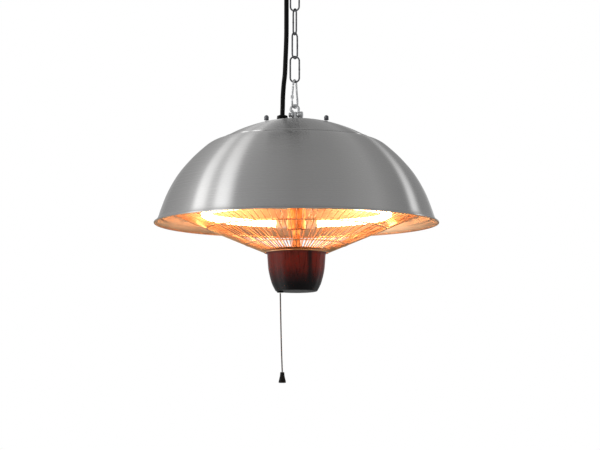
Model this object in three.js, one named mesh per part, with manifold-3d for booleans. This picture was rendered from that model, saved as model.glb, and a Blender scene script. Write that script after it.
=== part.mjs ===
// Hanging halogen patio heater: spun steel dome, two half-ring lamps behind a wire guard,
// a pull-switch cup below, and a chain with carabiner and shackle above.
// Millimetres, +Z up. Lengths inside the model are measured from the dome's rim plane,
// and the whole model is then lowered so that the ceiling face is z = 0.
import * as THREE from "three";
import Module from "manifold-3d";
import { mergeVertices } from "three/addons/utils/BufferGeometryUtils.js";

// Driving dimensions
const gap = 0.3; // between pieces that touch
const rimBelowCeiling = 470;
const lineX = -2.5; // the hanging line, a little left of the dome's axis

const domeRadius = 212.5;
const sheet = 1.2;
const domeRound = 36; // facets round the large pressings
const domeTopZ = 124;
const domeProfile = [
  [99, 126.2], [106, 126.4], [121, 122.4], [133.5, 116], [146.6, 104.9], [158.5, 93.1],
  [173.4, 75.2], [185, 57.5], [194.1, 39.7], [201, 22], [206, 7.5], [209, 3],
];
const reflectorProfile = [
  [14.6, 104], [100, 104], [130, 100], [158, 82.5], [176.5, 61], [189.4, 39], [201, 8],
];

const capRadius = 105.8;
const capSphere = 210;
const capCentreZ = -53.9;
const capEdgeDrop = 1.6;
const capNutRing = 51.4;
const capNutAngles = [210, 330, 90];
const studRadius = 2;

const linkWire = 2.5;
const linkLength = 41.3;
const linkWidth = 16;
const lowestLinkZ = 210.4; // outside of the lowest link's bottom bend
const linkTurns = [222, 166, 110, 56, 0]; // degrees about Z, top link first
const linkPitch = linkLength - 2 * linkWire - gap;
const topLinkZ = lowestLinkZ + (linkTurns.length - 1) * linkPitch + linkLength;

const hookWire = 5;
const hookBend = 9;
const plateRadius = 30;
const plateThick = 4;
const plateHoleX = 20;
const plateHoleRadius = 2.75;

const pinZ = 162.3; // axis of the shackle's bolt
const shackleTurn = -12;
const shackleWire = 3.8;
const bowRadius = 6;
const bowCentreZ = 170.7;
const boltRadius = 2.4;
const boltShift = 1.4; // the bow leans left of its bolt

const carabinerTurn = 60;
const carabinerWire = 3;
const carabinerTop = { z: 210.9, radius: 4 };
const carabinerFoot = { z: 181, radius: 8 };
const gatePivot = { u: -7.6, z: 187.6 };

const glandX = -21;
const glandZ = 156.2;

const cordDiameter = 7;
const coil = { x: -55.5, z: 396, inner: 29.5, outer: 44, front: -14.6, back: 22.3 };
const plugZ = 362.8;
const plugY = 18.6;

const columnRadius = 13.5;
const columnFootZ = -9.6;
const stemRadius = 6;

const guardInner = { r: 46, z: -44.5 };
const guardSlope = 0.411;
const guardWire = 1.8;
const guardBars = 36;
const guardBands = [[46, 49.5], [75, 77], [132, 134], [188, 191.5]];

const lampRing = 137;
const lampZ = 13;
const lampHalfSweep = 76; // degrees either side of the X axis
const lampOuter = 5;
const lampBore = 3.8;
const endCapAngle = 80.6;

const cupProfile = [
  [45.4, -43.2], [45.4, -45], [43.7, -46.6], [42.6, -57], [41.2, -69], [38.9, -79.3],
  [35.3, -91.3], [30.2, -101.4], [29, -102.2],
];
const cupWall = 1.8;
const lidRadius = 48.5;
const lidFootZ = -41;

const pullX = -24;
const bushFootZ = -104;
const pullCordLength = 117;
const pullCordDrift = 3; // the cord hangs a little to the right
const bellHeight = 16;
const drumAxis = { x: -11.5, z: -70 };

// Materials
const finish = (color, roughness, metalness, extra = {}) =>
  new THREE.MeshStandardMaterial({ color, roughness, metalness, ...extra });
const brushedSteel = finish("#8f8f90", 0.35, 1);
const polishedReflector = finish("#d9b38a", 0.2, 1);
const brightZinc = finish("#c4c6c8", 0.3, 1);
const darkZinc = finish("#6d6f70", 0.45, 0.9);
const guardWireFinish = finish("#b98a5e", 0.35, 1);
const glossCup = finish("#1d1210", 0.2, 0);
const blackRubber = finish("#131313", 0.6, 0);
const blackPlastic = finish("#191919", 0.4, 0);
const whiteCeramic = finish("#efe9dd", 0.5, 0);
const quartz = finish("#fff2d8", 0.05, 0, { transparent: true, opacity: 0.5 });
const tungsten = finish("#ffb347", 0.4, 0, { emissive: "#ff9a3c" });
const nickelPin = finish("#c9ccd0", 0.25, 1);
const greyCord = finish("#77746f", 0.7, 0);
const springSteel = finish("#9a9c9e", 0.35, 1);

// Helpers
const wasm = await Module();
wasm.setup();

const radians = THREE.MathUtils.degToRad;
const heater = new THREE.Group();
heater.position.z = -rimBelowCeiling;

function volumeOf(geometry) {
  const p = geometry.attributes.position;
  const order = geometry.index ? geometry.index.array : [...Array(p.count).keys()];
  const [a, b, c] = [new THREE.Vector3(), new THREE.Vector3(), new THREE.Vector3()];
  let sum = 0;
  for (let i = 0; i < order.length; i += 3) {
    a.fromBufferAttribute(p, order[i]);
    b.fromBufferAttribute(p, order[i + 1]);
    c.fromBufferAttribute(p, order[i + 2]);
    sum += a.dot(b.cross(c));
  }
  return sum;
}

// One welded mesh of positions only, with its faces turned outwards
function welded(source) {
  const geometry = source.clone();
  geometry.deleteAttribute("normal");
  geometry.deleteAttribute("uv");
  const joined = mergeVertices(geometry, 1e-4);
  if (volumeOf(joined) < 0) {
    const index = joined.index.array;
    for (let i = 0; i < index.length; i += 3) {
      [index[i], index[i + 1]] = [index[i + 1], index[i]];
    }
  }
  return joined;
}

function solid(geometry) {
  const joined = welded(geometry);
  return new wasm.Manifold(
    new wasm.Mesh({
      numProp: 3,
      vertProperties: new Float32Array(joined.attributes.position.array),
      triVerts: new Uint32Array(joined.index.array),
    }),
  );
}

function toGeometry(manifold) {
  const { vertProperties, triVerts } = manifold.getMesh();
  const geometry = new THREE.BufferGeometry();
  geometry.setAttribute("position", new THREE.BufferAttribute(vertProperties, 3));
  geometry.setIndex(new THREE.BufferAttribute(triVerts, 1));
  return geometry;
}

const cut = (whole, ...tools) =>
  toGeometry(tools.reduce((left, tool) => left.subtract(solid(tool)), solid(whole)));
const join = (...pieces) =>
  toGeometry(pieces.map(solid).reduce((sum, piece) => sum.add(piece)));

function add(name, geometry, material, parent = heater) {
  const mesh = new THREE.Mesh(geometry, material);
  mesh.name = name;
  parent.add(mesh);
  return mesh;
}

// A turned piece about Z from [radius, height] points; a profile off the axis closes on itself
function turned(profile, sides = 24) {
  const points = profile.map(([r, z]) => new THREE.Vector2(r, z));
  if (profile[0][0] > 0) points.push(points[0].clone());
  return welded(new THREE.LatheGeometry(points, sides).rotateX(Math.PI / 2));
}

const rod = (radius, from, to, sides = 12) =>
  new THREE.CylinderGeometry(radius, radius, to - from, sides)
    .rotateX(Math.PI / 2)
    .translate(0, 0, (from + to) / 2);

const box = (x, y, z) => new THREE.BoxGeometry(x, y, z);

function ringShape(radius, sides, bore = 0) {
  const loop = (r) =>
    Array.from({ length: sides }, (_, i) => {
      const angle = (2 * Math.PI * (i + 0.5)) / sides;
      return new THREE.Vector2(r * Math.cos(angle), r * Math.sin(angle));
    });
  const shape = new THREE.Shape(loop(radius));
  if (bore) shape.holes.push(new THREE.Path(loop(bore)));
  return shape;
}

function tubeAlong(curve, radius, steps, sides = 8, bore = 0) {
  const shape = ringShape(radius, sides, bore);
  return welded(new THREE.ExtrudeGeometry(shape, { steps, extrudePath: curve }));
}

const smooth = (points) =>
  new THREE.CatmullRomCurve3(points.map(([x, y, z]) => new THREE.Vector3(x, y, z)));

class Arc extends THREE.Curve {
  constructor(radius, z, from, to) {
    super();
    Object.assign(this, { radius, z, from, to });
  }
  getPoint(t) {
    const angle = radians(this.from + t * (this.to - this.from));
    return new THREE.Vector3(this.radius * Math.cos(angle), this.radius * Math.sin(angle), this.z);
  }
}

const arcPoints = (x, z, radius, from, to, count) =>
  Array.from({ length: count + 1 }, (_, i) => {
    const angle = radians(from + ((to - from) * i) / count);
    return [x + radius * Math.cos(angle), 0, z + radius * Math.sin(angle)];
  });

function turnedGroup(degrees, x = lineX) {
  const group = new THREE.Group();
  group.position.x = x;
  group.rotation.z = radians(degrees);
  heater.add(group);
  return group;
}

// A pressing of even thickness from its outer profile
function pressing(profile, thickness) {
  const inner = profile.map(([r, z], i) => {
    const [r0, z0] = profile[Math.max(i - 1, 0)];
    const [r1, z1] = profile[Math.min(i + 1, profile.length - 1)];
    const length = Math.hypot(r1 - r0, z1 - z0);
    return [r + (thickness * (z1 - z0)) / length, z - (thickness * (r1 - r0)) / length];
  });
  return [...profile, ...inner.reverse()];
}

// Ceiling plate and hook
{
  const ceilingZ = rimBelowCeiling;
  const plate = rod(plateRadius, ceilingZ - plateThick, ceilingZ, 32).translate(lineX, 0, 0);
  const holes = [-plateHoleX, plateHoleX].map((x) =>
    rod(plateHoleRadius, ceilingZ - 9, ceilingZ + 5).translate(lineX + x, 0, 0),
  );
  add("ceiling_plate", cut(plate, ...holes), brightZinc);

  const hookFootZ = topLinkZ - linkWire - hookWire / 2 - 3 * gap;
  const bendZ = hookFootZ + hookBend;
  const bend = arcPoints(0, bendZ, hookBend, 0, -180, 6);
  const shank = [[0, 0, ceilingZ - plateThick - gap], [0, 0, 445], [0, 0, 430], [4.5, 0, bendZ + 15]];
  const tip = [[-hookBend - 0.6, 0, bendZ + 6]];
  const hook = tubeAlong(smooth([...shank, ...bend, ...tip]), hookWire / 2, 26, 8);
  add("ceiling_hook", hook, brightZinc, turnedGroup(90));
}

// Chain, five welded links
{
  const bend = (linkWidth - linkWire) / 2;
  const straight = (linkLength - linkWire) / 2 - bend;
  const outline = [
    ...arcPoints(0, straight, bend, 0, 180, 4),
    [-bend, 0, 0],
    ...arcPoints(0, -straight, bend, 180, 360, 4),
    [bend, 0, 0],
  ];
  const centreline = smooth(outline);
  centreline.closed = true;
  const link = welded(new THREE.TubeGeometry(centreline, 24, linkWire / 2, 6, true));
  linkTurns.forEach((turn, i) => {
    const fromLowest = linkTurns.length - 1 - i;
    const mesh = add(`chain_link_${i + 1}`, link.clone(), darkZinc, turnedGroup(turn));
    mesh.position.z = lowestLinkZ + linkLength / 2 + fromLowest * linkPitch;
  });
}

// Carabiner: open body, sprung gate and the gate's rivet
{
  const plane = turnedGroup(carabinerTurn);
  const radius = carabinerWire / 2;
  const route = [
    [-4.75, 0, 206.6],
    ...arcPoints(0, carabinerTop.z, carabinerTop.radius, 172, 8, 4),
    [5.9, 0, 197],
    ...arcPoints(0, carabinerFoot.z, carabinerFoot.radius, 8, -188, 8),
  ];
  const tongue = box(2.6, 1.2, 7).translate(gatePivot.u - 0.2, 0, gatePivot.z - 2);
  const hole = rod(0.8, -4, 4).rotateX(Math.PI / 2).translate(gatePivot.u, 0, gatePivot.z);
  const body = join(tubeAlong(smooth(route), radius, 30, 8), tongue);
  add("carabiner_body", cut(body, hole), brightZinc, plane);

  const length = 17.6;
  const lean = Math.atan2(-4.75 - gatePivot.u, 206.6 - gatePivot.z);
  const barrel = rod(1.25, 2.4, length, 8).rotateY(lean).translate(gatePivot.u, 0, gatePivot.z);
  const foot = box(3, 4.2, 5).translate(gatePivot.u, 0, gatePivot.z + 1);
  const slot = box(6, 1.9, 4.6).translate(gatePivot.u, 0, gatePivot.z - 0.2);
  add("carabiner_gate", cut(join(barrel, foot), slot, hole), brightZinc, plane);

  const rivet = rod(0.6, -2.5, 2.5, 8).rotateX(Math.PI / 2);
  add("carabiner_rivet", rivet.translate(gatePivot.u, 0, gatePivot.z), brightZinc, plane);
}

// Bow shackle with its bolt and nut, and the heater's eye bolt
{
  const plane = turnedGroup(shackleTurn);
  const eyeX = 4.5;
  const route = [
    [boltShift - eyeX, 0, pinZ],
    [boltShift - eyeX, 0, pinZ + 3.9],
    ...arcPoints(0, bowCentreZ, bowRadius, 192, -18, 8),
    [boltShift + eyeX, 0, pinZ + 3.9],
    [boltShift + eyeX, 0, pinZ],
  ];
  const across = (radius, from, to, sides) =>
    rod(radius, from, to, sides).rotateY(Math.PI / 2).translate(boltShift, 0, pinZ);
  const eyes = [-eyeX, eyeX].map((x) => across(4.5, x - 1.6, x + 1.6, 14));
  const bow = join(tubeAlong(smooth(route), shackleWire / 2, 22, 8), ...eyes);
  const bore = across(boltRadius + 0.35, -9, 9, 12);
  add("shackle_bow", cut(bow, bore), darkZinc, plane);
  const head = across(5.4, 6.9, 10.6, 6);
  add("shackle_bolt", join(across(boltRadius, -9.6, 7.2, 12), head), brightZinc, plane);
  const nut = cut(across(4, -10.2, -6.9, 6), across(boltRadius + 0.3, -12, 0, 12));
  add("shackle_nut", nut, brightZinc, plane);

  const ear = cut(
    box(3.8, 10, 15.6).translate(boltShift, 0, pinZ - 3.6),
    across(boltRadius + 0.35, -9, 9, 12),
  );
  ear.rotateZ(radians(shackleTurn)).translate(lineX, 0, 0);
  add("eye_bolt", join(ear, rod(4, 110.5, 155.2, 14)), brightZinc);
  add("eye_bolt_nut", cut(rod(7.4, 112.4, 118.4, 6), rod(4.3, 100, 130, 14)), brightZinc);
}

// Mains cord: a tube up beside the chain, a round coil above it, and a moulded plug
{
  const radius = cordDiameter / 2;
  const route = [
    [glandX, 0, 162.4],
    [glandX + 0.4, 0, 174],
    [-20.2, 0, 190],
    [-19, 0, 208],
    [-17.3, 0, 224],
    [-16.5, 0, 243],
    [-15.7, 0, 262],
    [-15.1, 1, 282],
    [-15, 2.6, 302],
    [-15, 5, 322],
    [-15, 7.8, 342],
    [-15, 10, 360],
    [-15, 10.6, 369],
  ];
  add("mains_cord", tubeAlong(smooth(route), radius, 13, 8), blackRubber);

  const { inner, outer, front, back } = coil;
  const ring = turned([[inner, front], [outer, front], [outer, back], [inner, back]], 32);
  add("mains_cord_coil", ring.rotateX(-Math.PI / 2).translate(coil.x, 0, coil.z), blackRubber);

  // Straps: one round the coil and the top link, one round the coil alone
  const strapThick = 1.2;
  const band = (x0, x1, y0, y1, height) => {
    const outline = (grow) => [
      new THREE.Vector2(x0 - grow, y0 - grow),
      new THREE.Vector2(x1 + grow, y0 - grow),
      new THREE.Vector2(x1 + grow, y1 + grow),
      new THREE.Vector2(x0 - grow, y1 + grow),
    ];
    const shape = new THREE.Shape(outline(strapThick));
    shape.holes.push(new THREE.Path(outline(0)));
    return welded(new THREE.ExtrudeGeometry(shape, { depth: height, bevelEnabled: false }));
  };
  const tieZ = 376;
  add("cord_tie_chain", band(-35.5, 7, -15.6, 23.3, 9), blackRubber).position.z = tieZ;
  const acrossTie = band(-outer - 1.2, 1.2 - inner, front - 0.8, back + 0.8, 10);
  const turnedTie = add("cord_tie_coil", acrossTie.translate(0, 0, -5), blackRubber);
  turnedTie.position.set(coil.x, 0, coil.z);
  turnedTie.rotation.y = radians(-40);

  const plugX = 24;
  const reliefFrom = -20.5;
  const disc = rod(17.5, -10, 10, 24).rotateX(Math.PI / 2);
  const reliefEnd = plugX - 10;
  const relief = new THREE.CylinderGeometry(6.6, 4.6, reliefEnd - reliefFrom, 12)
    .rotateZ(-Math.PI / 2)
    .translate((reliefFrom + reliefEnd) / 2 - plugX, 0, 0);
  const plug = add("plug_body", join(disc, relief), blackRubber);
  plug.position.set(plugX, plugY, plugZ);
  [-9.5, 9.5].forEach((x, i) => {
    const pin = rod(2.4, 0, 19, 10).rotateX(-Math.PI / 2).translate(x, 0, 0);
    const mesh = add(`plug_pin_${i + 1}`, pin, nickelPin);
    mesh.position.set(plugX, plugY + 10 + gap, plugZ);
  });
}

const capZ = (r) => capCentreZ + Math.sqrt(capSphere ** 2 - r ** 2);
const around = (radius, degrees) => [
  radius * Math.cos(radians(degrees)),
  radius * Math.sin(radians(degrees)),
];

// Domed top cap with its acorn nuts and cable gland
{
  const steps = [0, 20, 40, 60, 80, 95, capRadius];
  const outer = steps.map((r) => [r, capZ(r) + (r === capRadius ? 1.2 : 0)]);
  const inner = steps.slice(0, -1).map((r) => [r, capZ(r) - sheet]).reverse();
  const edge = [
    [capRadius, capZ(capRadius) + 1.2 - capEdgeDrop],
    [capRadius - sheet, capZ(capRadius) - 0.4],
  ];
  const cap = turned([...outer, ...edge, ...inner], domeRound);
  const lugHole = rod(6.4, 140, 170, 16);
  const glandHole = rod(6.2, 140, 170, 16).translate(glandX, 0, 0);
  const studHoles = capNutAngles.map((a) =>
    rod(studRadius + 0.5, 140, 160).translate(...around(capNutRing, a), 0),
  );
  add("top_cap", cut(cap, lugHole, glandHole, ...studHoles), brushedSteel);

  const nutZ = capZ(capNutRing) + 1.1;
  const hex = rod(3.9, 0, 3.6, 6);
  const crown = turned([[0, 3], [3.2, 3], [3.1, 4.8], [2.4, 6.4], [1.2, 7.4], [0, 7.7]], 12);
  capNutAngles.forEach((angle, i) => {
    const mesh = add(`cap_nut_${i + 1}`, join(hex, crown), brightZinc);
    mesh.position.set(...around(capNutRing, angle), nutZ);
  });

  const bodyHex = rod(8.5, 0, 2.4, 6);
  const thread = rod(5.8, -9, 0.4, 16);
  const bore = rod(cordDiameter / 2 + 0.4, -12, 12, 16);
  const body = add("cable_gland_body", cut(join(bodyHex, thread), bore), blackPlastic);
  body.position.set(glandX, 0, glandZ);
  const dome = turned([[3.9, 2.7], [8, 2.7], [8, 4], [7, 5.1], [5, 5.8], [3.9, 5.8]], 16);
  add("cable_gland_nut", dome, blackPlastic).position.set(glandX, 0, glandZ);
}

// Dome, with the three studs pressed into its top, and the reflector inside it
{
  const top = [[5, domeTopZ], [96, domeTopZ]];
  const shell = pressing([...top, ...domeProfile], sheet);
  const rolled = shell.length / 2;
  shell.splice(rolled, 0, [211.6, 1.6], [domeRadius, 0.2], [212, -1.3], [210.6, -1.2]);
  const studTop = capZ(capNutRing) + 1.1 - gap;
  const studs = capNutAngles.map((a) =>
    rod(studRadius, domeTopZ - 0.6, studTop, 8).translate(...around(capNutRing, a), 0),
  );
  add("dome_shell", join(turned(shell, domeRound), ...studs), brushedSteel);

  const bowl = turned(pressing(reflectorProfile, 1), domeRound);
  add("reflector", bowl, polishedReflector);
}

// Central column and the stem that carries the switch cup
{
  const columnTop = domeTopZ - sheet - gap;
  const column = turned([
    [5, columnTop], [24, columnTop], [24, columnTop - 2.2], [columnRadius, columnTop - 2.4],
    [columnRadius, columnFootZ], [6.6, columnFootZ], [6.6, columnFootZ + 3],
    [columnRadius - 1.5, columnFootZ + 3], [columnRadius - 1.5, columnTop - 3], [5, columnTop - 3],
  ], 20);
  add("column_tube", column, brightZinc);

  const stem = turned([
    [4.4, 14], [9.5, 14], [9.5, columnFootZ + 3 + gap], [stemRadius, columnFootZ + 3 + gap],
    [stemRadius, -52], [4.4, -52],
  ], 16);
  add("stem_tube", stem, brightZinc);
  const nut = cut(rod(9.6, -46, lidFootZ - gap, 6), rod(stemRadius + 0.3, -60, -30, 16));
  add("stem_nut", nut, brightZinc);
  add("switch_lead", rod(2, -53, 108, 8), blackPlastic);
}

// Wire guard as one conical grid of radial bars and rings
{
  const edges = guardBands.flat();
  const columns = guardBars * 2;
  const barShare = 0.3; // of one bar's spacing that the bar itself fills
  const heightAt = (r) => guardInner.z + guardSlope * (r - guardInner.r);
  const angleAt = (column) =>
    ((2 * Math.PI) / guardBars) * (Math.floor(column / 2) + (column % 2 ? barShare : 0));
  const filled = (band, column) => band % 2 === 0 || column % 2 === 0;
  const corner = (ring, column, side) => {
    const r = edges[ring];
    const angle = angleAt(((column % columns) + columns) % columns);
    return [r * Math.cos(angle), r * Math.sin(angle), heightAt(r) + side * guardWire];
  };
  const vertices = [];
  const face = (a, b, c, d) => vertices.push(...a, ...b, ...c, ...a, ...c, ...d);
  for (let band = 0; band < edges.length - 1; band += 1) {
    for (let column = 0; column < columns; column += 1) {
      if (!filled(band, column)) continue;
      const at = (out, on, side) => corner(band + out, column + on, side);
      face(at(0, 0, 1), at(1, 0, 1), at(1, 1, 1), at(0, 1, 1));
      face(at(0, 1, 0), at(1, 1, 0), at(1, 0, 0), at(0, 0, 0));
      const open = (b, c) => b < 0 || b > edges.length - 2 || !filled(b, (c + columns) % columns);
      if (open(band - 1, column)) face(at(0, 0, 0), at(0, 0, 1), at(0, 1, 1), at(0, 1, 0));
      if (open(band + 1, column)) face(at(1, 1, 0), at(1, 1, 1), at(1, 0, 1), at(1, 0, 0));
      if (open(band, column - 1)) face(at(1, 0, 0), at(1, 0, 1), at(0, 0, 1), at(0, 0, 0));
      if (open(band, column + 1)) face(at(0, 1, 0), at(0, 1, 1), at(1, 1, 1), at(1, 1, 0));
    }
  }
  const grid = new THREE.BufferGeometry();
  grid.setAttribute("position", new THREE.Float32BufferAttribute(vertices, 3));
  add("guard", welded(grid), guardWireFinish);

  const ringZ = heightAt(190);
  const outline = [
    [187, -1.8], [194, -1.8], [194, 8.4], [192.7, 8.4], [192.7, -0.6], [187, -0.6],
  ];
  const shape = new THREE.Shape(outline.map(([r, z]) => new THREE.Vector2(r, z)));
  const clip = welded(new THREE.ExtrudeGeometry(shape, { depth: 8, bevelEnabled: false }))
    .translate(0, 0, -4)
    .rotateX(Math.PI / 2);
  [30, 150, 270].forEach((angle, i) => {
    const mesh = add(`guard_clip_${i + 1}`, clip.clone(), brightZinc);
    mesh.position.z = ringZ - 1.2;
    mesh.rotation.z = radians(angle);
  });
}

// Two half-ring quartz lamps, their ceramic ends and the brackets that hold them
{
  const endCaps = [];
  ["right", "left"].forEach((side, i) => {
    const middle = i * 180;
    const sweep = [middle - lampHalfSweep, middle + lampHalfSweep];
    const tube = tubeAlong(new Arc(lampRing, lampZ, ...sweep), lampOuter, 16, 6, lampBore);
    add(`lamp_tube_${side}`, tube, quartz);
    const wire = tubeAlong(new Arc(lampRing, lampZ, sweep[0] + 0.3, sweep[1] - 0.3), 1.5, 16, 5);
    add(`lamp_filament_${side}`, wire, tungsten);
    [middle - endCapAngle, middle + endCapAngle].forEach((angle) => endCaps.push(angle));
  });
  const ceramic = rod(7, -10, 10, 14).rotateX(Math.PI / 2);
  endCaps.forEach((angle, i) => {
    const mesh = add(`lamp_end_cap_${i + 1}`, ceramic.clone(), whiteCeramic);
    mesh.position.set(...around(lampRing, angle), lampZ);
    mesh.rotation.z = radians(angle);
  });

  const [halfSpan, foot, head, metal] = [24, lampZ - 9, 88, 1.6];
  const arch = [
    [-halfSpan, foot], [-halfSpan, head], [halfSpan, head], [halfSpan, foot],
    [halfSpan - metal, foot], [halfSpan - metal, head - metal],
    [metal - halfSpan, head - metal], [metal - halfSpan, foot],
  ];
  const shape = new THREE.Shape(arch.map(([x, z]) => new THREE.Vector2(x, z)));
  const bent = new THREE.ExtrudeGeometry(shape, { depth: 20, bevelEnabled: false })
    .rotateX(Math.PI / 2)
    .translate(0, 10, 0);
  [["front", -1], ["back", 1]].forEach(([place, side]) => {
    const sockets = [90 - endCapAngle, endCapAngle - 90].map((lean) =>
      rod(7.4, -13, 13, 14)
        .rotateX(Math.PI / 2)
        .translate(lampRing, 0, lampZ)
        .rotateZ(radians(side * 90 + lean)),
    );
    const bracket = cut(bent.clone().translate(0, side * (lampRing - 2), 0), ...sockets);
    add(`lamp_bracket_${place}`, bracket, brightZinc);
  });
}

// Wiring chamber under the cap
{
  const block = join(box(34, 14, 9), box(34, 7, 14).translate(0, 0, 0.5));
  add("terminal_block", block, whiteCeramic).position.set(6, 32, domeTopZ + 8);
  const cutout = join(rod(8, 0, 5, 16), box(22, 6, 1.2).translate(0, 0, 0.6));
  add("thermal_cutout", cutout, blackPlastic).position.set(34, -20, domeTopZ + gap);
}

// Switch cup, its lid, and the pull switch inside
{
  const cupFootZ = cupProfile.at(-1)[1];
  const floorZ = cupFootZ + cupWall;
  const inside = cupProfile.slice(2, -1).map(([r, z]) => [r - cupWall, Math.max(z, floorZ)]);
  const lip = [45.4 - cupWall, cupProfile[0][1]];
  const shell = turned([[0, cupFootZ], ...cupProfile.toReversed(), lip, ...inside, [0, floorZ]]);
  add("switch_cup", cut(shell, rod(3.4, -110, -90, 12).translate(pullX, 0, 0)), glossCup);

  const lid = cut(rod(lidRadius, lidFootZ, lidFootZ + 1.4, 36), rod(stemRadius + 0.4, -60, -30, 16));
  add("cup_lid", lid, brightZinc);

  const bushOutline = [
    [1.5, bushFootZ], [5, bushFootZ], [5, -102.5], [3.1, -102.5], [3.1, -98.6], [1.5, -98.6],
  ];
  add("cord_bush", turned(bushOutline, 12), blackPlastic).position.x = pullX;

  const body = box(28, 22, 32).translate(-15, 0, -70.5);
  const bore = rod(3.6, -84.5, -50, 12).translate(pullX, 0, 0);
  const guide = rod(1.7, -100, -80, 10).translate(pullX, 0, 0);
  const pocket = rod(7.3, -20, 6, 20).rotateX(Math.PI / 2);
  pocket.translate(drumAxis.x, -7, drumAxis.z);
  const wireSlot = box(6, 6, 20).translate(-1, 0, -54);
  add("switch_body", cut(body, bore, guide, pocket, wireSlot), blackPlastic);

  const teeth = [0, 45, 90, 135].map((angle) =>
    box(13, 2, 11.5).translate(0, 0, -0.25).rotateZ(radians(angle)),
  );
  const drum = join(rod(4.8, -6, 5.5, 16), ...teeth);
  const drumMesh = add("ratchet_drum", drum.rotateX(Math.PI / 2), whiteCeramic);
  drumMesh.position.set(drumAxis.x, -5, drumAxis.z);

  const collarZ = -61;
  const springFootZ = -84.2;
  const sliderOutline = [
    [0, bushFootZ], [1.2, bushFootZ], [1.2, collarZ], [3.2, collarZ], [3.2, collarZ + 3], [0, collarZ + 3],
  ];
  add("switch_slider", turned(sliderOutline, 12), springSteel).position.x = pullX;
  const springTopZ = collarZ - gap;
  const springOutline = [
    [1.6, springFootZ], [3, springFootZ], [3, springTopZ], [1.6, springTopZ],
  ];
  const spring = turned(springOutline, 12);
  add("pull_spring", spring, springSteel).position.x = pullX;
}

// Pull cord with its bell
{
  const top = bushFootZ - 0.8; // room to swing under the bush
  const route = [
    [pullX, 0, top],
    [pullX + 0.7, 0, top - 0.3 * pullCordLength],
    [pullX + 1.6, 0, top - 0.65 * pullCordLength],
    [pullX + pullCordDrift, 0, top - pullCordLength],
  ];
  add("pull_cord", tubeAlong(smooth(route), 1, 14, 8), greyCord);
  const bellOutline = [
    [0, 0], [2.4, 0], [3.1, -1.4], [5.5, 1.2 - bellHeight], [4.9, -bellHeight], [0, -bellHeight],
  ];
  const bell = add("pull_bell", turned(bellOutline, 16), blackPlastic);
  bell.position.set(pullX + pullCordDrift, 0, top - pullCordLength - gap);
}

const group = new THREE.Group();
group.add(heater);

export default group;
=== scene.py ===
import bpy
import math
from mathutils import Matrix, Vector


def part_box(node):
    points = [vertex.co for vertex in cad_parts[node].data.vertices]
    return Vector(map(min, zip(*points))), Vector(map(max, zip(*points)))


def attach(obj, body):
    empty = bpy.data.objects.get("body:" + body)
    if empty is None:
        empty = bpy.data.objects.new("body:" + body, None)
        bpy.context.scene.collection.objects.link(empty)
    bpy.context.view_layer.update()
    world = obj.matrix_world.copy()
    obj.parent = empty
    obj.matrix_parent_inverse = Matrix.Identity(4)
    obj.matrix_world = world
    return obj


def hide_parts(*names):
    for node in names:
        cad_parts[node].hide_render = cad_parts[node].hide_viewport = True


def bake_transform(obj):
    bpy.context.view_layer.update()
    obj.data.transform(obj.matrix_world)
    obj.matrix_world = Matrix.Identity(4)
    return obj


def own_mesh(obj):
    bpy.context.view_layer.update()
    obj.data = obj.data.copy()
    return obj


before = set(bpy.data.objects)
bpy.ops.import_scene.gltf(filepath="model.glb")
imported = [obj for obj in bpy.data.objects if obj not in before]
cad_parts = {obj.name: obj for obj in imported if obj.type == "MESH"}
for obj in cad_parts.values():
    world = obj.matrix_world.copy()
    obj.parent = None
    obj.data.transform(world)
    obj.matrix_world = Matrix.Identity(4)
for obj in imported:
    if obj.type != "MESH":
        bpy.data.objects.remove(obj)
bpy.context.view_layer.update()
print("frame loaded")

mm = 0.001
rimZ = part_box("dome_shell")[0][2] + 1.3 * mm  # plane of the dome's rim, which the heights below count from


def up(height):
    return rimZ + height * mm


def place(x, y, height):
    return Vector((x * mm, y * mm, up(height)))


# Camera, low and far away, looking slightly up under the shade

cameraSet = {"aim": (5.3, 0, -3), "distance": 5.0, "lift": -6.0, "lens": 201.5, "sensor": 36.0}


def makeCamera():
    lift = math.radians(cameraSet["lift"])
    aim = place(*cameraSet["aim"])
    back = Vector((0, -math.cos(lift), math.sin(lift)))
    bpy.ops.object.camera_add(location=aim + back * cameraSet["distance"])
    camera = bpy.context.object
    camera.rotation_euler = (-back).to_track_quat("-Z", "Y").to_euler()
    camera.data.lens = cameraSet["lens"]
    camera.data.sensor_width = cameraSet["sensor"]
    camera.data.clip_end = 50
    bpy.context.scene.camera = camera


makeCamera()
print("camera placed")


# Small helpers for colours, nodes and shapes

def linear(hexColour):
    parts = [int(hexColour[i:i + 2], 16) / 255 for i in (1, 3, 5)]
    return [p / 12.92 if p <= 0.04045 else ((p + 0.055) / 1.055) ** 2.4 for p in parts] + [1.0]


def addNode(tree, kind, values=None, links=None, **settings):
    node = tree.nodes.new(kind)
    for key, value in settings.items():
        setattr(node, key, value)
    for key, value in (values or {}).items():
        node.inputs[key].default_value = value
    for key, source in (links or {}).items():
        tree.links.new(source, node.inputs[key])
    return node


def newMaterial(name, **values):
    material = bpy.data.materials.new(name)
    material.use_nodes = True
    shader = material.node_tree.nodes["Principled BSDF"]
    for key, value in values.items():
        shader.inputs[key.replace("_", " ")].default_value = value
    where = addNode(material.node_tree, "ShaderNodeTexCoord").outputs["Object"]
    return material, material.node_tree, shader, where


def startClean():
    if bpy.context.mode != "OBJECT":
        bpy.ops.object.mode_set(mode="OBJECT")
    bpy.ops.object.select_all(action="DESELECT")


def weld(outwards=True):
    bpy.ops.object.mode_set(mode="EDIT")
    bpy.ops.mesh.select_all(action="SELECT")
    bpy.ops.mesh.remove_doubles(threshold=0.01 * mm)
    if outwards:
        bpy.ops.mesh.normals_make_consistent(inside=False)
    bpy.ops.object.mode_set(mode="OBJECT")


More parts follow.
